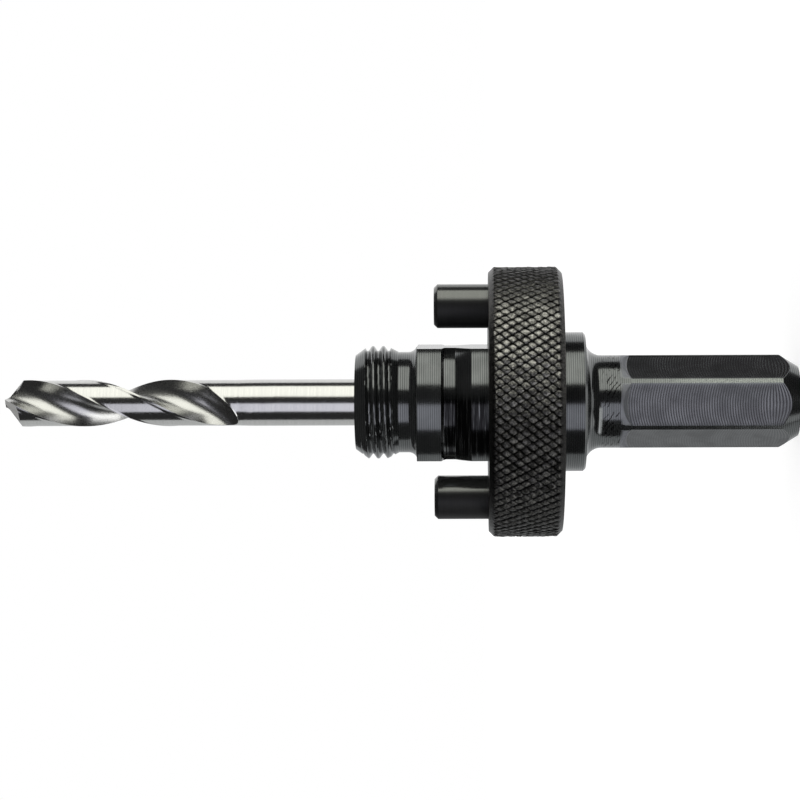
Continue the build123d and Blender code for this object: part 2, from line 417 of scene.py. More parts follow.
# %% The shank, from its end face to the ramps
MARK = 0.35 * MM
MARK_DEPTH = 0.024 * MM
END_MARKS = 8
ROWS_PER_MARK, BEVEL_ROWS, RAMP_ROWS, NECK_ROWS = 4, 6, 4, 2
MID_COLUMN, EDGE_COLUMN = 12, 11  # the middle of the first flat, and its edge counted from there
TINY = 1e-9
flat_edge = np.arccos(hex_half / bar_r)
hex_angle = columns_on_edges(6, MID_COLUMN, EDGE_COLUMN, flat_edge)[0]
to_flat = hex_angle % (np.pi / 3) - np.pi / 6
on_land = np.abs(to_flat) >= flat_edge - TINY
side_step = hex_half * np.tan(np.minimum(np.abs(to_flat), flat_edge))
foot_r = cutter_r - ramp
cutter_z = flat_end_z - cutter_r


def shank_radius(z):
    """Radius of the shank at each column for an array of heights z.
    The round is the bar or its end bevel. A flat lies hex_half from the axis. On a ramp the distance
    from the axis grows with the distance from the cutter's centre, which gives a quadratic in r."""
    turned = np.minimum(bar_r, end_r + z * (bar_r - end_r) / end_bevel)
    cosine, sine = np.cos(to_flat), np.sin(to_flat)
    flat = hex_half / cosine
    past = z - cutter_z
    on_ramp = (np.hypot(side_step, np.maximum(past, 0)) > foot_r) & (past > 0)
    rise = foot_r - hex_half
    a = cosine ** 2 - sine ** 2
    root = np.sqrt(np.maximum((rise * cosine) ** 2 - a * (rise ** 2 - past ** 2), 0))
    sloped = (root - rise * cosine) / a
    return np.minimum(turned, np.where(on_ramp, np.maximum(sloped, flat), flat))


def rows_between(first, last, count):
    """count rows that share out the way from one height, or curve of heights, to the next."""
    share = np.arange(1, count + 1)[:, None] / count
    return first + (last - first) * share


bend = np.sqrt(foot_r ** 2 - side_step ** 2) - foot_r
bevel_edge = (np.minimum(hex_half / np.cos(to_flat), bar_r) - end_r) * end_bevel / (bar_r - end_r)
first_arc = first_arc_z + bend
foot = cutter_z + foot_r + bend
top_reach = (bar_r * np.cos(to_flat) - hex_half + foot_r) ** 2 - (bar_r * np.sin(to_flat)) ** 2
ramp_top = np.maximum(cutter_z + np.sqrt(top_reach), foot + 0.04 * MM)
neck_start = flat_end_z + 0.25 * MM
long_marks = int(round((foot[MID_COLUMN] - first_arc[MID_COLUMN]) / MARK))
shank_z = np.vstack([
    np.zeros((1, AROUND)),
    rows_between(0, bevel_edge, BEVEL_ROWS),
    rows_between(bevel_edge, first_arc, END_MARKS * ROWS_PER_MARK),
    rows_between(first_arc, foot, long_marks * ROWS_PER_MARK),
    rows_between(foot, ramp_top, RAMP_ROWS),
    rows_between(ramp_top, neck_start, NECK_ROWS),
])

# %% Marks and wear of the shank
shank_row = np.arange(len(shank_z))[:, None]
foot_row = len(shank_z) - 1 - RAMP_ROWS - NECK_ROWS
arc_number = (shank_row - BEVEL_ROWS) / ROWS_PER_MARK
milled_row = (shank_row > BEVEL_ROWS) & (shank_row < foot_row + RAMP_ROWS)
ramp_row = (shank_row > foot_row) & (shank_row <= foot_row + RAMP_ROWS + 1)
shank_flat = (milled_row & ~on_land).astype(float)
shank_worn = (milled_row & on_land).astype(float)
# the ramps' cells: rough, less metallic, and painted with a reflection's colour in the finish
shank_matt_lit_ramp = (ramp_row & ~on_land).astype(float)
shank_r = shank_radius(shank_z) - MARK_DEPTH * (0.5 - 0.5 * np.cos(FULL_TURN * arc_number)) * shank_flat
print("shank:", len(shank_z), "rows,", long_marks + END_MARKS, "milling marks on each flat")

# %% [markdown]
# Between the neck and the saw seat the bar is plain turned work: a fillet, the hub, then the guide on
# which the collar slides. The guide has two flats and a groove with a ramp for the collar's detent.
# Its rows are the points of the outline, and its columns keep to the edges of the two flats.

# %% The neck, the hub and the guide
neck = arc((bar_r + neck_fillet, hub_z - neck_fillet), neck_fillet, 180, 90, 12)
hub = np.vstack([
    [(bar_r, hub_z - neck_fillet - edge_break)], neck,
    line((hub_r - edge_break, hub_z), (hub_r, hub_z + edge_break), step=edge_break),
    [(hub_r, guide_z)],
])
groove = np.vstack([
    line((hub_r, guide_z), (hub_r, detent_start_z), (groove_r, detent_ramp_z), (groove_r, detent_wall_z),
         (hub_r, detent_z), (hub_r, seat_z - seat_break), step=np.array([2, 0.25, 0.5, 0.3, 1.1]) * MM),
    [(hub_r - seat_break, seat_z)],
])
relief = arc((relief_r + relief_fillet, seat_z + relief_fillet), relief_fillet, 270, 180, 10)
guide_rows = np.vstack([groove, relief, [(relief_r, relief_end_z)]])
GUIDE_EDGE = 15  # column on a flat's edge, with this angle where the bar is too thin to have flats:
EVEN_EDGE = np.radians(GUIDE_EDGE * 360 / AROUND)
guide_edge = np.arccos(np.minimum(1, guide_half / guide_rows[:, 0]))
guide_edge = np.where(guide_edge > np.radians(5), guide_edge, EVEN_EDGE)
guide_angle = columns_on_edges(2, 0, GUIDE_EDGE, guide_edge)
guide_r = np.minimum(guide_rows[:, :1], guide_half / np.maximum(np.abs(np.cos(guide_angle)), 1e-6))
guide_r[guide_rows[:, 1] > seat_z + relief_fillet] = relief_r
print("guide:", len(guide_rows), "rows; flats end", round(np.degrees(guide_edge[0]), 1), "degrees off X")

# %% [markdown]
# The nose has a right-hand thread, 18 turns to the inch. A thread could be a coil joined to a rod, but
# a joint like that never shades cleanly. Here the radius itself rises and falls with z minus a share
# of the angle, so the thread grows out of the bar and is cut off by the bevel at its end.

# %% The threaded nose
PITCH = 25.4 * MM / 18
thread_r = 7.8 * MM
thread_depth = 0.75 * MM
thread_turn = 0.87  # share of a turn by which the crest is moved
crest_wear = 0.12  # share of the depth that is worn off the crests
NOSE_ROWS = 110
nose_bevel, bevel_rise = 1.85 * MM, 1.35 * MM
bore_r = drill_high.x + 0.025 * MM
bore_mouth = 0.35 * MM
HALF_POINT = np.radians(59)  # half of the drill's point angle


def thread_radius(z, angle):
    """Major radius less the thread's depth times a wave: a 60 degree V with narrow flats and worn crests.
    The wave is 0 in the root and 1 on the crest, and its phase is z / pitch - angle / one turn."""
    phase = z / PITCH - angle / FULL_TURN + thread_turn
    vee = np.abs(2 * (phase % 1) - 1)
    root, crest = 0.13, 0.87
    wave = np.clip((vee - root) / (crest - root), 0, 1)
    return thread_r - thread_depth * (1 - wave + crest_wear * wave ** 6)


nose_rows = rows_between(relief_end_z, nose_z, NOSE_ROWS)
slope = relief_r + (thread_r - relief_r) * (nose_rows - relief_end_z) / (thread_z - relief_end_z)
bevel = thread_r - bevel_rise * (nose_rows - nose_z + nose_bevel) / nose_bevel
nose_blank = np.minimum(np.minimum(slope, thread_r), bevel)
nose_r = np.minimum(nose_blank, thread_radius(nose_rows, round_angle[None, :]))
bore = np.vstack([
    line((bore_r + bore_mouth, nose_z), (bore_r, nose_z - bore_mouth), (bore_r, drill_low.z), step=20 * MM),
    [(0, drill_low.z - bore_r / np.tan(HALF_POINT))],
])
print("thread:", round((nose_z - thread_z) / PITCH, 1), "turns of", round(PITCH / MM, 3), "mm")

# %% [markdown]
# Now the stretches become one skin. It starts and ends in a pole: the middle of the end face, and the
# point of the drill's blind bore. The set screw's hole is a window in the guide's flat: its faces are
# left out, and a ring of points leads from the window's border to the round hole and down its wall.

# %% The arbor body
skin = Skin("flat", "arc", "worn", "matt_lit_ramp")
marks = {"flat": shank_flat, "worn": shank_worn, "matt_lit_ramp": shank_matt_lit_ramp, "arc": arc_number}
grid = np.vstack([
    skin.add(spun(0, hex_angle, np.zeros((1, AROUND)))),
    skin.add(spun(shank_r, hex_angle, shank_z), **marks),
    skin.add(spun(hub[:, :1], round_angle, hub[:, 1:])),
    skin.add(spun(guide_r, guide_angle, guide_rows[:, 1:])),
    skin.add(spun(nose_r, round_angle, nose_rows)),
    skin.add(spun(bore[:, :1], round_angle, bore[:, 1:])),
])

# %% The set screw's hole
SCREW_WINDOW = 13  # half the width of the window, in columns
hole_bevel = 0.15 * MM
screw_low, screw_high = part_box("pilot_set_screw")
screw_z = (screw_low.z + screw_high.z) / 2
screw_r = (screw_high.z - screw_low.z) / 2
first_guide_row = 1 + len(shank_z) + len(hub)
window_rows = first_guide_row + rows_about(groove[:, 1], screw_z, screw_r + 0.1 * MM)
window_columns = (AROUND // 2 - SCREW_WINDOW, AROUND // 2 + SCREW_WINDOW)
skin.cover(grid, outside(grid, window_rows, window_columns))
middle = np.array([-guide_half, 0, screw_z])
border, angle = skin.rim(grid, window_rows, window_columns, middle, Y_AXIS, Z_AXIS)
ring_r = np.array([screw_r + hole_bevel, screw_r, screw_r, 0])[:, None]
hole_end = bore_r + hole_bevel
ring_depth = np.array([guide_half, guide_half - hole_bevel, hole_end, hole_end])[:, None]
ring_points = spun(ring_r, angle, -ring_depth)[..., [2, 0, 1]] + screw_z * Z_AXIS
skin.cover(np.vstack([border, skin.add(ring_points)]))
make_piece("turned_body", skin, "arbor", "arbor_body", body_steel)

# %% [markdown]
# A diamond knurl is pressed into the collar by two rollers whose ridges lean to opposite sides. The two
# sets of grooves leave diamonds, whose tops stay flat where the rollers weren't pressed in fully. With
# eight columns and eight rows to a diamond, every groove runs along the diagonals of cells and every
# ridge along their sides, so few faces give sharp diamonds. The holder stood a little skew, so the
# columns lean, and no two diamonds are quite as high or as level.

# %% The knurl
DIAMONDS_AROUND = 93
STEPS = 8
KNURL_AROUND = DIAMONDS_AROUND * STEPS
QUARTER = KNURL_AROUND // 4
GROOVE_SHARE = 0.375  # of the way from one groove to the next
RISING_DEPTH, FALLING_DEPTH = 0.6, 0.5  # shares of the knurl's depth, added up at a crossing
UNEVEN_HEIGHT, UNEVEN_TILT = 0.12, 0.35
LEVELS = (0.5, 1.15)  # lowest and highest diamond
KNURL_GRAIN = 0.009 * MM
collar_r = collar_high.x
collar_bevel = 0.8 * MM
knurl_depth = 0.24 * MM
diamond_length = 1.72 * MM
knurl_lean = np.radians(3.3)  # over the collar's length
knurl_angle = np.arange(KNURL_AROUND) * (FULL_TURN / KNURL_AROUND)
knurl_z = np.arange(collar_low.z + 0.06 * MM, collar_high.z - 0.05 * MM, diamond_length / STEPS)
row_number, column_number = np.meshgrid(np.arange(len(knurl_z)), np.arange(KNURL_AROUND), indexing="ij")
collar_middle = (collar_low.z + collar_high.z) / 2


def leaned(z):
    """Angles of the columns at a height: they turn by knurl_lean from the back face to the front face."""
    return knurl_angle + knurl_lean * (z - collar_middle) / (collar_high.z - collar_low.z)


def groove_height(count):
    """0 in a groove, which lies at each whole number, 1 at its rims and on the top between them."""
    return np.minimum(2 * np.abs(count - np.round(count)) / GROOVE_SHARE, 1)


rising, falling = (column_number + row_number) / STEPS, (column_number - row_number) / STEPS
crest = 1 - RISING_DEPTH * (1 - groove_height(rising)) - FALLING_DEPTH * (1 - groove_height(falling))
crest = np.maximum(crest, 0)
chance = np.random.default_rng(7)
height_of, tilt_rising, tilt_falling = chance.normal(0, 1, (3, DIAMONDS_AROUND, DIAMONDS_AROUND))
diamond = tuple(np.floor(count).astype(int) % DIAMONDS_AROUND for count in (rising, falling))
tilt = tilt_rising[diamond] * (rising % 1 - 0.5) + tilt_falling[diamond] * (falling % 1 - 0.5)
level = np.clip(1 - UNEVEN_HEIGHT * np.abs(height_of[diamond]) + UNEVEN_TILT * tilt, *LEVELS)
rough = chance.normal(0, KNURL_GRAIN, crest.shape)
crest_r = collar_r - 0.04 * MM - knurl_depth * (1 - crest * level) + rough * crest
to_face = np.minimum(knurl_z - collar_low.z, collar_high.z - knurl_z)[:, None]
knurl_r = np.minimum(crest_r, collar_r - collar_bevel + to_face)
print("knurl:", KNURL_AROUND, "columns,", len(knurl_z), "rows")

# %% [markdown]
# The collar around it slides on the guide, so its hole has the guide's two flats. The skin goes once
# around the section: back face, knurl, front face, and back through the hole. Windows in the two faces
# let the drive pins through, and one in the knurl holds the detent's ball, spring and plug screw.
# Hands have worn the oxide off the diamonds' tops, in chips. The tops are painted lighter on the side
# that faces +X, a painted highlight, and darker where x lies beyond about 12 mm either way, painted shade.

# %% Material of the collar
KNURLED = (0.012, 0.0116, 0.0116), (0.52, 0.513, 0.475)  # in the grooves and on the worn tops


def collar_finish():
    finish = Finish("black_oxide_knurled")
    crest_height = finish.value("crest")
    grain = finish.noise(8, 4.0, 0.7)
    chips = finish.noise(3.2, 3.0, 0.7)
    cloud = finish.noise(0.5, 3.0)
    # painted highlight, lightest from x = 9.5 mm, and painted shade beyond about 12 mm either way in x
    lit_side_highlight = finish.x.between(-3, 9.5, 0.22, 1) * finish.x.between(18, 12, 0.05, 1)
    lit_worn_tops = crest_height.between(0.4, 0.97) * lit_side_highlight * finish.x.between(-19, -12, 0.2, 1)
    shade = lit_worn_tops * (0.2 + chips.between(0.42, 0.6) * 0.6 + cloud * 0.2)
    colour = finish.blend(shade, *KNURLED)
    roughness = 0.25 + grain * 0.16
    return finish.done(colour, roughness, chips * 0.6 + grain * 0.4, 0.055 * MM, 0.95)


collar_steel = collar_finish()

# %% The drive collar
FACE_SHADE, BEVEL_SHADE = 0.62, 0.55  # values of "crest" where there is no knurl
slide_gap = 0.05 * MM
inner_r = hub_r + slide_gap
inner_half = guide_half + slide_gap
mouth = 0.4 * MM
hole_r = np.minimum(inner_r, inner_half / np.maximum(np.abs(np.cos(knurl_angle)), 1e-6))
face_shares = np.array([0.0, 0.1, 0.93, 1.0])[:, None]
face_r = (hole_r + mouth) + (collar_r - collar_bevel - hole_r - mouth) * face_shares
plug_low, plug_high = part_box("detent_plug")
ball_low, ball_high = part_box("detent_ball")
plug_z = (plug_low.z + plug_high.z) / 2
plug_r = (plug_high.x - plug_low.x) / 2
ball_r = (ball_high.x - ball_low.x) / 2 + slide_gap
OUTER_HALF, INNER_HALF = 19, 28  # half the widths of the detent's windows, in columns
knurl_rows = rows_about(knurl_z, plug_z, plug_r + 0.25 * MM)
inner_count = knurl_rows[1] - knurl_rows[0] - 2 * (INNER_HALF - OUTER_HALF)
inner_z = np.concatenate([
    [collar_high.z - mouth],
    plug_z + (ball_r + 0.35 * MM) * np.linspace(1, -1, inner_count + 1),
    [collar_low.z + mouth],
])[:, None]

skin = Skin("crest")
leaning = face_shares > 0.5
back_angle = np.where(leaning, leaned(collar_low.z), knurl_angle)
front_angle = np.where(leaning, leaned(collar_high.z), knurl_angle)[::-1]
back_face = skin.add(spun(face_r, back_angle, collar_low.z), crest=FACE_SHADE)
knurl_crest = np.where(knurl_r < crest_r, BEVEL_SHADE, crest)
knurl = skin.add(spun(knurl_r, leaned(knurl_z[:, None]), knurl_z[:, None]), crest=knurl_crest)
front_face = skin.add(spun(face_r[::-1], front_angle, collar_high.z), crest=FACE_SHADE)
inside = skin.add(spun(hole_r, knurl_angle, inner_z), crest=FACE_SHADE)
grid = np.vstack([back_face, knurl, front_face, inside, back_face[:1]])
print("collar: the detent's window is", knurl_rows[1] - knurl_rows[0], "rows high and", inner_count, "inside")

# %% Windows of the drive pins
PIN_WINDOW = 37  # half the width of a pin's window, in columns
keep = np.ones((len(grid) - 1, KNURL_AROUND), bool)
front_row = len(back_face) + len(knurl)
tubes = []
for pin, middle in (("drive_pin_upper", 0), ("drive_pin_lower", KNURL_AROUND // 2)):
    low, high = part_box(pin)
    span = (middle - PIN_WINDOW, middle + PIN_WINDOW)
    rings = []
    for row, z in ((1, collar_low.z), (front_row + 1, collar_high.z)):
        keep &= outside(grid, (row, row + 1), span)
        centre = np.array([(low.x + high.x) / 2, 0, z])
        border, angle = skin.rim(grid, (row, row + 1), span, centre, X_AXIS, Y_AXIS)
        hole = centre + spun((high.x - low.x) / 2, angle, 0)
        rings += [border, skin.add(hole[None], crest=FACE_SHADE)[0]]
    tubes.append(np.vstack([rings[0], rings[1], rings[3], rings[2]]))
    print(pin, "has a hole of", round((high.x - low.x) / MM, 2), "mm")

# %% Window of the detent
outer_window = (QUARTER - OUTER_HALF, QUARTER + OUTER_HALF)
inner_window = (QUARTER - INNER_HALF, QUARTER + INNER_HALF)
outer_rows = len(back_face) + knurl_rows
inner_rows = front_row + len(front_face) + 1 + np.array([0, inner_count])
keep &= outside(grid, outer_rows, outer_window) & outside(grid, inner_rows, inner_window)
centre = np.array([0, collar_r, plug_z])
outer_border, angle = skin.rim(grid, outer_rows, outer_window, centre, X_AXIS, Z_AXIS)
inner_border, _ = skin.rim(grid, inner_rows, inner_window, centre, X_AXIS, Z_AXIS)
mouth_y = np.sqrt((collar_r - knurl_depth) ** 2 - (plug_r * np.cos(angle)) ** 2)
bottom_y = np.sqrt(inner_r ** 2 - (ball_r * np.cos(angle)) ** 2)
step_y = np.full_like(angle, plug_low.y)
tube_r = np.array([plug_r + 0.2 * MM, plug_r, plug_r, ball_r, ball_r])[:, None]
tube_y = np.stack([mouth_y, mouth_y - 0.25 * MM, step_y, step_y, bottom_y])
tube_points = spun(tube_r, angle, tube_y)[..., [0, 2, 1]] + plug_z * Z_AXIS
tubes.append(np.vstack([outer_border, skin.add(tube_points, crest=FACE_SHADE), inner_border]))
print("detent: plug screw", round(2 * plug_r / MM, 2), "mm, ball's bore", round(2 * ball_r / MM, 2), "mm")

# %% [markdown]
# Each knurled cell is split along the groove that crosses it. A four-sided face that isn't flat is cut
# along one of its diagonals anyway, and the wrong one would put a ridge across the groove. The lower
# diagonal is the right one: it joins the two corners that lie deeper.

# %% Split the knurl's cells along the grooves
cells = cells_of(grid)[keep]
height = skin.values["crest"][cells]
first_diagonal = height[:, 0] + height[:, 2] <= height[:, 1] + height[:, 3]
knurled = (cells >= knurl[0, 0]).all(axis=1) & (cells <= knurl[-1, -1]).all(axis=1)
skin.faces = cells[~knurled]
split_first = cells[knurled & first_diagonal]
split_second = cells[knurled & ~first_diagonal]
triangles = np.vstack([
    split_first[:, [0, 1, 2]], split_first[:, [0, 2, 3]],
    split_second[:, [0, 1, 3]], split_second[:, [1, 2, 3]],
])
for tube_grid in tubes:
    skin.cover(tube_grid)
make_piece("knurled_collar", skin, "collar", "drive_collar", collar_steel, triangles)

# %% [markdown]
# The drive pins are plain ground pins. Their free ends have a small bevel, and the edges of the bevel
# are slightly round, which is what catches the light. They are turned outlines with a few extra rows.
# The side of each pin that faces +X is painted lighter and is smoother: a painted highlight. The rest
# is painted near black: a painted shade.

# %% The drive pins
PIN_AROUND = 72
# painted shade on the side away from +X, and painted highlight on the side that faces +X
PIN_SHADE_COLOUR = (0.03, 0.03, 0.03), (0.052, 0.052, 0.053)
PIN_HIGHLIGHT_COLOUR = (0.12, 0.122, 0.118), (0.2, 0.205, 0.195)


def pin_finish():
    finish = Finish("black_oxide_ground")
    rings = finish.noise((0.2, 0.2, 5.0), 3.0, 0.6)
    grain = finish.noise(8, 3.0, 0.7)
    shade, rubbed = rings * 0.6 + grain * 0.4, finish.value("rubbed")
    colour = finish.blend(rubbed, finish.blend(shade, *PIN_SHADE_COLOUR), finish.blend(shade, *PIN_HIGHLIGHT_COLOUR))
    roughness = 0.12 + grain * 0.12 + (1 - rubbed) * 0.35
    return finish.done(colour, roughness, rings * 0.4 + grain * 0.2, 0.004 * MM, 0.8)


pin_steel = pin_finish()


def pin_rows(low, high):
    """Outline of a pin: pressed part, step at the collar's front face, free part and bevelled tip."""
    pressed, free, bevel, soft = (high.x - low.x) / 2, 3.0 * MM, 0.45 * MM, 0.06 * MM
    return np.vstack([
        line((0, low.z), (pressed - bevel, low.z), (pressed, low.z + bevel), step=5 * MM),
        line((pressed, collar_high.z), (free, collar_high.z), (free, high.z - bevel - soft), step=1.5 * MM),
        [(free - soft / 2, high.z - bevel), (free - bevel, high.z - soft / 2), (free - bevel - soft, high.z)],
        [(0, high.z)],
    ])


for pin in ("drive_pin_upper", "drive_pin_lower"):
    low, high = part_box(pin)
    rows = pin_rows(low, high)
    skin = Skin("rubbed")
    turn = np.arange(PIN_AROUND) * (FULL_TURN / PIN_AROUND)
    points = spun(rows[:, :1], turn, rows[:, 1:]) + (low.x + high.x) / 2 * X_AXIS
    # 1 where the pin faces +X, where the highlight is painted, and 0 on the painted shade side
    skin.cover(skin.add(points, rubbed=np.clip(np.cos(turn) * 5 - 1.2, 0, 1)))
    make_piece(pin.replace("drive_pin", "ground_pin"), skin, "collar", pin, pin_steel)

# %% [markdown]
# The pilot drill is a rod with two flutes that wind round it. Its section is two lands and two flutes,
# and the flutes' centres move outwards where the grinding wheel leaves the rod. Columns follow the
# section, rows follow the drill, and each row is turned a little further than the one below it.

# %% Section of the drill
drill_r = drill_high.x
tip_z = drill_high.z
LEAD = 38.8 * MM
flutes_end_z = tip_z - 32.1 * MM
run_out = 5.0 * MM
flute_r = 2.67 * MM
web_half = 0.65 * MM
flute_turn = np.radians(-19)
margin = 0.45 * MM  # width of the high strip behind each cutting edge
land_step = 0.05 * MM  # how much lower the rest of a land is
FLUTE_COLUMNS, WALL_COLUMNS, LAND_COLUMNS = 28, 7, 24


def drill_section(lift):
    """Angle and radius of every column of the section, for an array of lifts of the flutes' centres.
    A flute is an arc about a point web_half + flute_r + lift from the axis, then straight walls that
    run almost radially out to the drill's radius. The lands between the flutes are round."""
    centre = web_half + flute_r + np.reshape(lift, (-1, 1))
    touches = centre < np.hypot(flute_r, drill_r)
    cosine = np.where(touches, flute_r / centre,
                      (centre ** 2 + flute_r ** 2 - drill_r ** 2) / (2 * centre * flute_r))
    end = np.arccos(np.clip(cosine, -1, 1))
    share = np.linspace(-1, 1, FLUTE_COLUMNS)
    x, y = centre - flute_r * np.cos(end * share), flute_r * np.sin(end * share)
    arc_angle, arc_radius = np.arctan2(y, x), np.hypot(x, y)
    out = np.arange(1, WALL_COLUMNS + 1) / WALL_COLUMNS
    wall_radius = arc_radius[:, -1:] + (drill_r - arc_radius[:, -1:]) * out
    lean = np.radians(0.5) * (drill_r - arc_radius[:, -1:]) / drill_r
    wall_angle = arc_angle[:, -1:] + lean * out
    edge = wall_angle[:, -1:]
    land = np.arange(1, LAND_COLUMNS) / LAND_COLUMNS
    land_angle = edge + (np.pi - 2 * edge) * land
    land_radius = drill_r - land_step * ((1 - land) * (np.pi - 2 * edge) * drill_r > margin)
    half_angle = np.hstack([-wall_angle[:, ::-1], arc_angle, wall_angle, land_angle])
    half_radius = np.hstack([wall_radius[:, ::-1], arc_radius, wall_radius, land_radius])
    return np.hstack([half_angle, half_angle + np.pi]), np.hstack([half_radius, half_radius])


flute_half_columns = 2 * WALL_COLUMNS + FLUTE_COLUMNS
half_columns = flute_half_columns + LAND_COLUMNS - 1
in_flute = np.tile(np.arange(half_columns) < flute_half_columns, 2).astype(float)
across_flute = np.tile(np.clip(np.arange(half_columns) / flute_half_columns, 0, 1), 2)
print("drill section:", 2 * half_columns, "columns")

# %% [markdown]
# The point is ground as a cone of 118 degrees that falls away behind each lip. Straight lines from the
# middle of the point make such a face: the slope of the line depends on how far it lies behind the
# chisel edge. It is zero on the chisel, right for the cone at the lip, and steeper up to the heel.

# %% Rows of the drill and its point
FADE_ROWS, STRAIGHT_ROWS, TIP_ROWS, CONE_ROWS = 37, 91, 16, 5
lip_slope = 1 / np.tan(HALF_POINT)
heel_relief = 0.2
lip_behind = 60.0  # degrees from the chisel edge back to the lip


def twist(z):
    """Turn of the section at a height z: one full turn in each lead, right-handed."""
    return flute_turn + FULL_TURN * (z - tip_z) / LEAD


end_angle, end_radius = drill_section(0.0)
end_angle, end_radius = end_angle[0], end_radius[0]
lip_z = tip_z - drill_r * lip_slope
chisel = end_angle[half_columns] + twist(lip_z) + np.radians(lip_behind)


def point_slope(behind):
    """Fall of the point's faces for each unit of radius, at an angle in degrees behind the chisel."""
    angles = [0, lip_behind, lip_behind + 15, 135, 165, 180]
    slopes = [0, lip_slope, lip_slope + 0.6 * heel_relief, lip_slope + heel_relief, 0.45, 0]
    return np.interp(behind, angles, slopes)


# %% The point's rim, then all rows
# The rim's height depends on its turn and its turn on its height, so they are worked out by turns.
top_z = np.full(2 * half_columns, lip_z)
for _ in range(6):
    behind = np.degrees(chisel - end_angle - twist(top_z)) % 180
    top_z = tip_z - end_radius * point_slope(behind)

fade = run_out * np.sin(np.linspace(0, 1, FADE_ROWS) * np.pi / 2)[::-1]
lift_full = drill_r - web_half
wheel_r = (run_out ** 2 + lift_full ** 2) / (2 * lift_full)
lift = wheel_r - np.sqrt(wheel_r ** 2 - fade ** 2)
fade_z = flutes_end_z + run_out - fade
straight_z = np.linspace(flutes_end_z + run_out, lip_z - 2.6 * MM, STRAIGHT_ROWS + 1)[1:]
drill_z = np.concatenate([fade_z, straight_z])
section_angle, section_radius = drill_section(np.concatenate([lift, np.zeros(len(straight_z))]))
fluted = spun(section_radius, section_angle + twist(drill_z)[:, None], drill_z[:, None])
last_z = rows_between(drill_z[-1], top_z, TIP_ROWS)
tip_rows = spun(end_radius, end_angle + twist(last_z), last_z)
to_tip = np.arange(1, CONE_ROWS + 1)[:, None, None] / CONE_ROWS
cone = tip_rows[-1] + (tip_z * Z_AXIS - tip_rows[-1]) * to_tip
print("lips end at z, mm:", round(lip_z / MM, 2), "heels at:", round(top_z.min() / MM, 2))

# %% [markdown]
# Below the flutes the drill is a plain rod that reaches down into the arbor's bore. There the columns
# are spread evenly again. A small flat in it, hidden in the guide, is where the set screw bears.

# %% The pilot drill
plain_angle = twist(flutes_end_z) + np.arange(2 * half_columns) * (np.pi / half_columns) - np.pi / 4
flat_x = -screw_high.x
flat_half = 4.0 * MM
spread_length = 5.0 * MM
drill_bevel = 0.4 * MM
spread = np.linspace(0, 1, 17)[1:-1, None]
spread_angle = plain_angle + (section_angle[0] + twist(flutes_end_z) - plain_angle) * spread
spread_r = drill_r + (section_radius[0] - drill_r) * spread ** 4
spread_z = flutes_end_z - spread_length * (1 - spread)
plain = line((0, drill_low.z), (drill_r - drill_bevel, drill_low.z), (drill_r, drill_low.z + drill_bevel),
             (drill_r, screw_z - flat_half), (drill_r, screw_z - flat_half), (drill_r, screw_z + flat_half),
             (drill_r, screw_z + flat_half), (drill_r, flutes_end_z - spread_length), step=6 * MM)
plain_r = np.broadcast_to(plain[:, :1], (len(plain), 2 * half_columns)).copy()
near_screw = np.nonzero(np.abs(plain[:, 1] - screw_z) <= flat_half + TINY)[0][1:-1]
to_screw = np.cos(plain_angle - np.pi)
cut = np.where(to_screw > 0.5, flat_x / np.maximum(to_screw, 0.5), drill_r)
plain_r[near_screw] = np.minimum(plain_r[near_screw], cut)

skin = Skin("flute", "lane")
grid = np.vstack([
    skin.add(spun(plain_r, plain_angle, plain[:, 1:])),
    skin.add(spun(spread_r, spread_angle, spread_z)),
    skin.add(fluted, flute=in_flute, lane=across_flute),
    skin.add(tip_rows, flute=in_flute, lane=across_flute),
    skin.add(cone, flute=0.5),
])
skin.cover(grid)

# %% Material of the drill
BRIGHT = (0.5, 0.5, 0.49), (0.72, 0.72, 0.7)


def drill_finish():
    finish = Finish("bright_ground_steel")
    flute, lane = finish.value("flute"), finish.value("lane")
    rings = finish.noise((0.1, 0.1, 6.0), 3.0, 0.6)
    grain = finish.noise(6, 3.0, 0.7)
    along = finish.node("ShaderNodeCombineXYZ", inputs={0: lane * 60, 1: finish.z * 0.25, 2: flute})
    streaks = finish.noise(1, 3.0, 0.6, along)
    marks = rings + flute * (streaks - rings)
    colour = finish.blend(marks * 0.7 + grain * 0.3, *BRIGHT)
    roughness = 0.14 + grain * 0.08 + flute * 0.1
    return finish.done(colour, roughness, marks * 0.6 + grain * 0.2, 0.005 * MM)


drill_steel = drill_finish()
make_piece("fluted_drill", skin, "arbor", "pilot_drill", drill_steel)

# %% [markdown]
# The set screw, the plug screw and the detent's ball and spring sit deep in their holes. Their solids
# already have the right shape, so they keep it and only get a finish.

# %% Small parts that keep their solids
def small_finish(name, dark, light, roughness):
    finish = Finish(name)
    grain = finish.noise(5, 4.0, 0.65)
    colour = finish.blend(grain, dark, light)
    return finish.done(colour, roughness + grain * 0.15, grain, 0.006 * MM)


screw_steel = small_finish("black_oxide_screws", (0.05, 0.05, 0.055), (0.14, 0.14, 0.15), 0.2)
ball_steel = small_finish("hardened_polished", (0.5, 0.5, 0.5), (0.66, 0.66, 0.65), 0.05)
for node, material in (("pilot_set_screw", screw_steel), ("detent_plug", screw_steel),
                       ("detent_ball", ball_steel), ("detent_spring", ball_steel)):
    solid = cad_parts[node].data
    solid.materials.clear()
    solid.materials.append(material)

# %% [markdown]
# Metal shows its surroundings, so the studio is built for the reflections. White paper all around is
# the background. Tall cards stand in a ring: a bright soft box, a dimmer card in front, and a black drum
# behind them, which draws the dark bands. One low card lights the shank and a high one the drill's
# point, and level flags darken what looks up or down. Only the metal sees the cards.

# %% The studio
CARD_STEPS = 24
FLAG_LIGHT = 0.028
WHITE = (1.0, 1.0, 1.0)


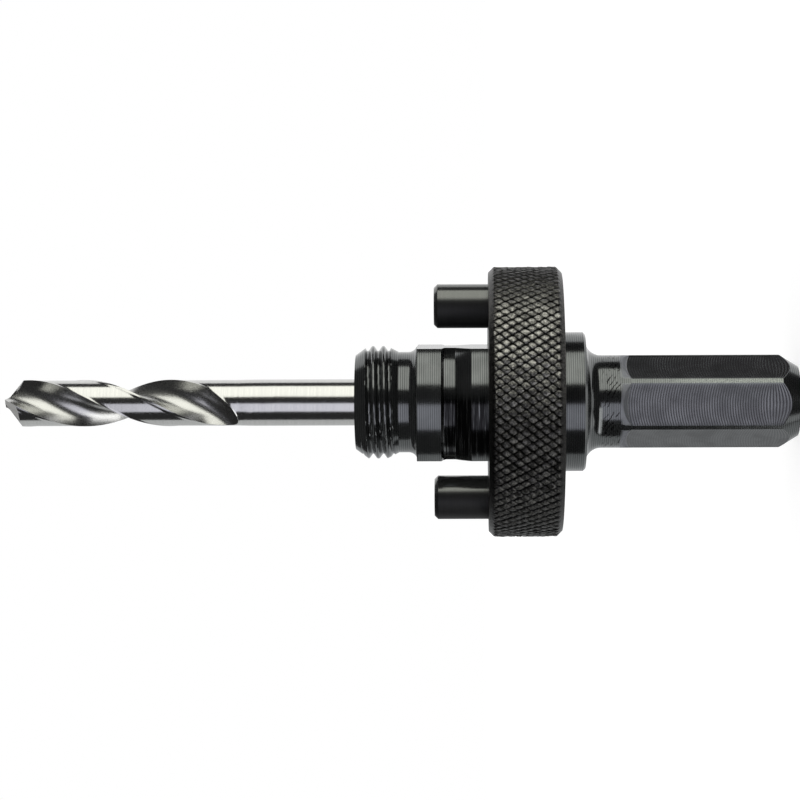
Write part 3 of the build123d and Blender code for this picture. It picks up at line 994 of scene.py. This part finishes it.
def emission(name, colour, strength):
    material = bpy.data.materials.new(name)
    start = empty_net(material)
    light = start.node("ShaderNodeEmission", inputs={"Color": (*colour, 1), "Strength": strength})
    start.node("ShaderNodeOutputMaterial", inputs={"Surface": light})
    return material


def studio_mesh(name, points, material):
    """A sheet over a grid of points, which stands in the studio and isn't part of the arbor."""
    rows, columns = points.shape[:2]
    number = np.arange(rows * columns).reshape(rows, columns)
    faces = np.stack([number[:-1, :-1], number[:-1, 1:], number[1:, 1:], number[1:, :-1]], axis=-1)
    mesh = bpy.data.meshes.new(name)
    mesh.from_pydata(points.reshape(-1, 3).tolist(), [], faces.reshape(-1, 4).tolist())
    mesh.materials.append(material)
    sheet = placed(name, mesh)
    return sheet


def card(name, strength, start, end, radii, heights, colour=WHITE, steps=CARD_STEPS):
    """A card between two circles round the Z axis, from one angle to another, in degrees from -Y towards
    +X. With one radius and two heights it stands, with two radii and one height it is level."""
    angle = np.radians(np.linspace(start, end, steps)) - np.pi / 2
    radius, height = (np.broadcast_to(pair, 2)[:, None] for pair in (radii, heights))
    sheet = studio_mesh(name, spun(radius, angle, height), emission(name, colour, strength))
    sheet.visible_camera = sheet.visible_diffuse = False
    sheet.visible_shadow = sheet.visible_transmission = False


card("soft_box", 1.6, 33, 93, 0.75, (-0.33, 0.33), (1.0, 1.0, 0.93))
card("front_card", 1.0, -42, 0, 0.75, (-0.22, 0.235), (0.95, 0.95, 1.06))
card("foot_card", 2.2, -85, -12, 0.7, (-0.34, -0.115))
card("point_card", 0.45, -178, -145, 0.85, (0.55, 1.2))
card("grey_card", 0.62, -178, -92, 0.85, (-1.3, 0.45), (0.97, 0.99, 1.0))
card("black_drum", FLAG_LIGHT, -179, 121, 0.95, (-1.3, 1.3), (1, 1, 1.03))
card("ceiling_flag", FLAG_LIGHT, -150, 150, (0.0, 1.1), 1.25, steps=2 * CARD_STEPS)
card("ceiling_back", 0.4, 150, 210, (0.0, 1.1), 1.25, steps=2 * CARD_STEPS)
card("floor_flag", FLAG_LIGHT, -65, 121, (0.32, 1.0), -1.25, steps=2 * CARD_STEPS)

world = bpy.data.worlds.new("white_paper")
bpy.context.scene.world = world
start = empty_net(world)
paths = start.node("ShaderNodeLightPath").socket.node.outputs
seen = Wire(start.tree, paths["Is Camera Ray"]) + Wire(start.tree, paths["Is Glossy Ray"])
seen = seen + Wire(start.tree, paths["Is Transmission Ray"])
strength = seen.maths("MINIMUM", seen, 1.0) * 0.25 + 0.75
sky = start.node("ShaderNodeBackground", inputs={"Color": (1, 1, 1, 1), "Strength": strength})
start.node("ShaderNodeOutputWorld", inputs={"Surface": sky})
print("studio: six cards, three level flags and white paper")

# %% [markdown]
# The floor is pale paper. It is lit by the world, and for the camera alone a little light of its own
# lifts it to plain white, while the shadow at the arbor's foot stays visible.

# %% The floor
FLOOR_HALF = 6.0


def floor_paper():
    material = bpy.data.materials.new("floor_paper")
    start = empty_net(material)
    camera_ray = start.node("ShaderNodeLightPath", output="Is Camera Ray")
    place = start.node("ShaderNodeTexCoord", output="Object")
    inputs = {"Vector": place, "Scale": 900.0, "Detail": 3.0}
    grain = start.node("ShaderNodeTexNoise", inputs=inputs, output="Fac")
    bump = start.node("ShaderNodeBump", inputs={"Height": grain, "Distance": 0.02 * MM}, output="Normal")
    shader = start.node("ShaderNodeBsdfPrincipled", inputs={
        "Base Color": (0.4, 0.4, 0.4, 1), "Roughness": 0.9, "Normal": bump,
        "Emission Color": (1, 1, 1, 1), "Emission Strength": camera_ray * 0.75})
    start.node("ShaderNodeOutputMaterial", inputs={"Surface": shader})
    return material


corners = np.array([-FLOOR_HALF, FLOOR_HALF])
floor_x, floor_y = np.meshgrid(corners, corners)
floor = studio_mesh("paper_floor", np.stack([floor_x, floor_y, 0 * floor_x], axis=-1), floor_paper())
floor.visible_glossy = False

# %% [markdown]
# The photograph looks level at the arbor from a third of a metre away, with a long lens. The camera is
# turned a quarter round its own axis, so the upright arbor lies across the picture, tip to the left. It
# stands level with the drive pins' ends rather than with the arbor's middle, as the round edges show,
# and looks at a right angle to the arbor's axis, so a small shift of the lens frames the whole arbor.

# %% The camera
camera_distance = 0.335
camera_azimuth = np.radians(4.2)
camera_height = 44.85 * MM
aim = Vector((0.27 * MM, 0, 54.4 * MM))
roll = np.radians(-0.19)

lens = bpy.data.cameras.new("long_lens")
lens.sensor_width = 36
lens.lens = 110
camera = placed("camera", lens)
bpy.context.scene.camera = camera
back = Vector((np.sin(camera_azimuth), -np.cos(camera_azimuth), 0))
place = Vector((aim.x, 0, camera_height)) + camera_distance * back
picture_up = Matrix.Rotation(roll, 3, back) @ Vector((0, 0, 1)).cross(back).normalized()
picture_right = picture_up.cross(back)
camera.matrix_world = Matrix((picture_right, picture_up, back)).transposed().to_4x4()
camera.location = place
lens.shift_x = (camera_height - aim.z) * lens.lens / lens.sensor_width / camera_distance
lens.clip_start, lens.clip_end = 0.01, 50
bpy.context.scene.view_settings.view_transform = "Standard"
print("camera at, mm:", [round(v / MM, 1) for v in place])
